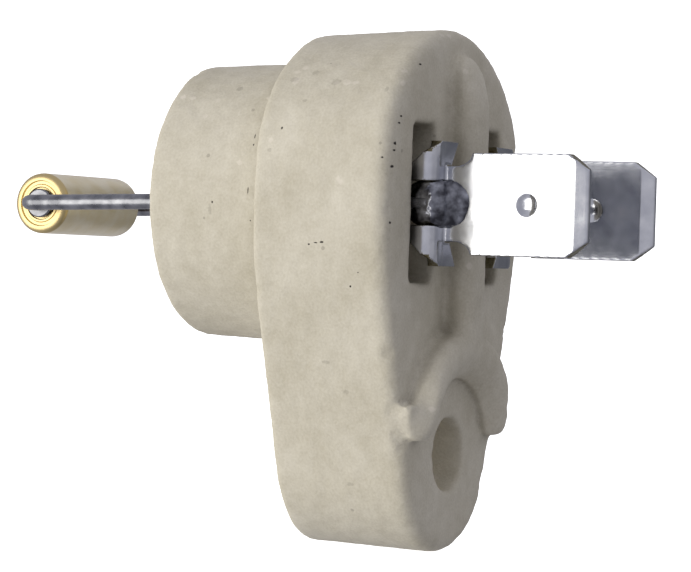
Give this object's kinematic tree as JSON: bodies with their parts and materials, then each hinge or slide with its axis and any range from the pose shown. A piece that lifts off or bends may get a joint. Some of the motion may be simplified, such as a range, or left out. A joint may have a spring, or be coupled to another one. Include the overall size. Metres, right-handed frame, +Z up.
{
  "type": "thermal cutoff on a ceramic holder",
  "caption": "Ceramic holder with a round boss and a one-screw flange, carrying a pellet-type thermal cutoff in front and quick-connect tabs behind.",
  "frame": {"origin": "on the boss axis, in the plane of the flange's front face, which is the middle of the panel's round hole", "axes": "+Y out of the rear, along the quick-connect tabs; -Y towards the cutoff; +Z up; the screw lug is at -Z; the tabs lie side by side along X"},
  "size_m": [0.0212, 0.0413, 0.0333],
  "materials": {
    "steatite": "unglazed, matte, bone coloured",
    "tinned_brass": "bright tin plate on brass",
    "tinned_copper": "tinned copper wire",
    "solder": "solder, dull to bright",
    "case_metal": "pale gold-washed brass",
    "spring_steel": "bright steel",
    "silver": "silver-plated copper",
    "organic_pellet": "pressed organic compound",
    "white_ceramic": "fired alumina",
    "resin": "cured epoxy"
  },
  "bodies": {
    "holder": {"ceramic_holder": "steatite", "right_terminal": "tinned_brass", "left_terminal": "tinned_brass", "right_solder_joint": "solder", "left_solder_joint": "solder", "fuse_case": "case_metal", "case_lead": "tinned_copper", "isolated_lead": "tinned_copper", "thermal_pellet": "organic_pellet", "ceramic_bushing": "white_ceramic", "epoxy_seal": "resin", "trip_spring": "spring_steel"},
    "pellet_follower": {"pellet_disc": "spring_steel", "compression_spring": "spring_steel"},
    "contact_carrier": {"star_contact": "silver", "contact_disc": "spring_steel"}
  },
  "joints": [
    {"name": "pellet_melt", "type": "slide", "parent": "holder", "child": "pellet_follower", "axis": [1, 0, 0], "range_m": [0, 0.0016], "deforming": ["thermal_pellet", "compression_spring"]},
    {"name": "contact_opening", "type": "slide", "parent": "holder", "child": "contact_carrier", "axis": [1, 0, 0], "range_m": [0, 0.0012], "deforming": ["trip_spring"]}
  ],
  "couplings": [
    {"joint": "contact_opening", "follows": "pellet_melt", "ratio": 0.75}
  ]
}
